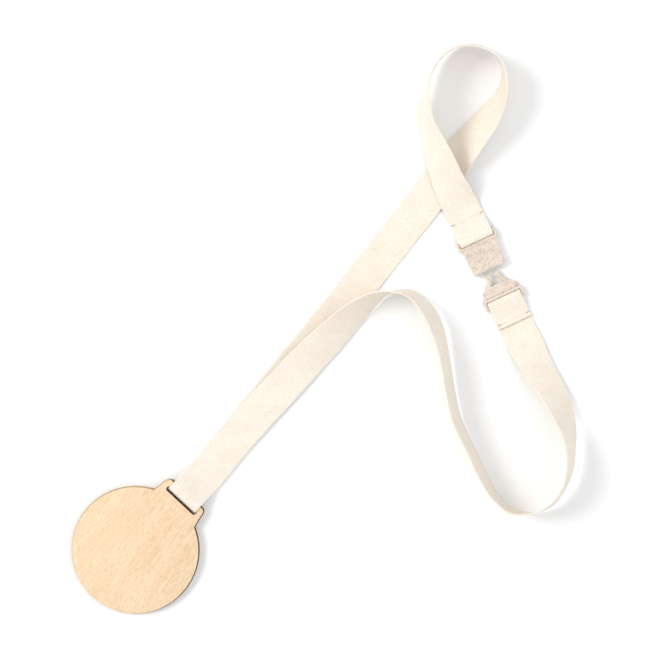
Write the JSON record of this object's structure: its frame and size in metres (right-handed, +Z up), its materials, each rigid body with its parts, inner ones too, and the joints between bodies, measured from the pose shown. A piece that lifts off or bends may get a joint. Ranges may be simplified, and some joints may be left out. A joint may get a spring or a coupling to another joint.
{
  "type": "ribbon lanyard with wooden medal",
  "caption": "Cotton ribbon lanyard with a round plywood medal on a swinging lug and an unclipped breakaway buckle that slides together.",
  "frame": {"origin": "on the table, under the centre of the medal's disc", "axes": "+Z up from the table; +X and +Y along the table, with the lug pointing 47 degrees from +X"},
  "size_m": [0.2796, 0.3161, 0.0255],
  "materials": {
    "beech_face": "sanded, unvarnished",
    "plywood_core": "laser-charred edge",
    "cotton_ribbon": "undyed cotton tape",
    "sewing_thread": "spun thread",
    "straw_plastic": "moulded straw-filled plastic with specks"
  },
  "bodies": {
    "lanyard": {"ribbon_medal_loop": "cotton_ribbon", "medal_seam_stitches": "sewing_thread", "ribbon_socket_side": "cotton_ribbon", "ribbon_plug_side": "cotton_ribbon", "socket_shell": "straw_plastic", "ribbon_socket_fold": "cotton_ribbon", "socket_seam_stitches": "sewing_thread"},
    "medal": {"medal_front_veneer": "beech_face", "medal_core": "plywood_core", "medal_back_veneer": "beech_face"},
    "plug": {"plug_frame": "straw_plastic", "ribbon_plug_fold": "cotton_ribbon", "plug_seam_stitches": "sewing_thread"},
    "left_prong": {"prong_left": "straw_plastic"},
    "right_prong": {"prong_right": "straw_plastic"}
  },
  "joints": [
    {"name": "medal_swing", "type": "hinge", "parent": "lanyard", "child": "medal", "pos_m": [0.02772, 0.02972, 0.00335], "axis": [-0.7314, 0.682, 0], "range_deg": [0, 120]},
    {"name": "plug_insert", "type": "slide", "parent": "lanyard", "child": "plug", "axis": [-0.4226, 0.9063, 0], "range_m": [0, 0.01]},
    {"name": "prong_left_flex", "type": "hinge", "parent": "plug", "child": "left_prong", "pos_m": [0.19627, 0.14587, 0.00225], "axis": [0, 0, -1], "range_deg": [0, 4], "stiffness_Nm_per_rad": 0.02},
    {"name": "prong_right_flex", "type": "hinge", "parent": "plug", "child": "right_prong", "pos_m": [0.20479, 0.14984, 0.00225], "axis": [0, 0, 1], "range_deg": [0, 4], "stiffness_Nm_per_rad": 0.02}
  ]
}
